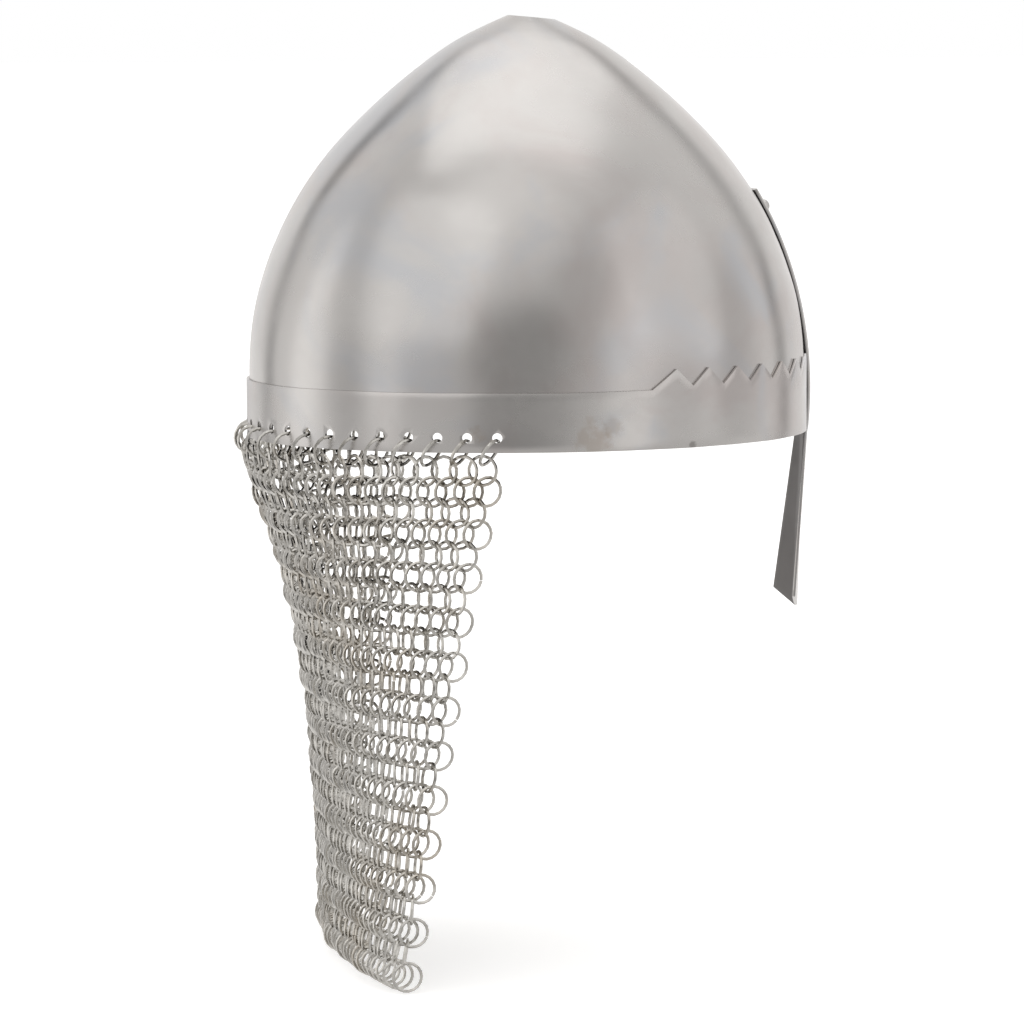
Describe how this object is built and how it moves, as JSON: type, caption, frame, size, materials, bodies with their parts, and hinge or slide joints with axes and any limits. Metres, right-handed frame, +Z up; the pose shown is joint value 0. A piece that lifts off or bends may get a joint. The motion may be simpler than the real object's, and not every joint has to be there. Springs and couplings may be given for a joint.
{
  "type": "knight helmet",
  "caption": "Pointed steel helmet with a toothed brow band, a folded nasal guard and a mail curtain that hangs behind the neck.",
  "frame": {"origin": "centre of the head opening, in the plane of the brow band's lower edge", "axes": "+X to the face side, +Y to the wearer's left, +Z up"},
  "size_m": [0.2505, 0.2051, 0.4041],
  "materials": {
    "skull_steel": "polished, softly clouded",
    "band_steel": "polished, worn edges",
    "nasal_steel": "polished, darker inside",
    "rivet_steel": "filed",
    "mail_wire": "drawn wire, warm grey"
  },
  "bodies": {
    "helmet": {"skull_dome": "skull_steel", "brow_band": "band_steel", "nasal_guard": "nasal_steel", "nasal_rivet": "rivet_steel", "hanger_rings": "mail_wire"},
    "mail_upper": {"mail_row_01": "mail_wire", "mail_row_02": "mail_wire", "mail_row_03": "mail_wire", "mail_row_04": "mail_wire", "mail_row_05": "mail_wire", "mail_row_06": "mail_wire", "mail_row_07": "mail_wire", "mail_row_08": "mail_wire"},
    "mail_middle": {"mail_row_09": "mail_wire", "mail_row_10": "mail_wire", "mail_row_11": "mail_wire", "mail_row_12": "mail_wire", "mail_row_13": "mail_wire", "mail_row_14": "mail_wire", "mail_row_15": "mail_wire", "mail_row_16": "mail_wire"},
    "mail_lower": {"mail_row_17": "mail_wire", "mail_row_18": "mail_wire", "mail_row_19": "mail_wire", "mail_row_20": "mail_wire", "mail_row_21": "mail_wire", "mail_row_22": "mail_wire", "mail_row_23": "mail_wire", "mail_row_24": "mail_wire"}
  },
  "joints": [
    {"name": "upper_mail_swing", "type": "hinge", "parent": "helmet", "child": "mail_upper", "pos_m": [-0.0772, 0, -0.0046], "axis": [0, 1, 0], "range_deg": [-3, 3], "deforming": ["mail_row_01"]},
    {"name": "middle_mail_swing", "type": "hinge", "parent": "mail_upper", "child": "mail_middle", "pos_m": [-0.0736, 0, -0.0786], "axis": [0, 1, 0], "range_deg": [-5, 5], "deforming": ["mail_row_09"]},
    {"name": "lower_mail_swing", "type": "hinge", "parent": "mail_middle", "child": "mail_lower", "pos_m": [-0.0741, 0, -0.1524], "axis": [0, 1, 0], "range_deg": [-7, 7], "deforming": ["mail_row_17"]}
  ]
}
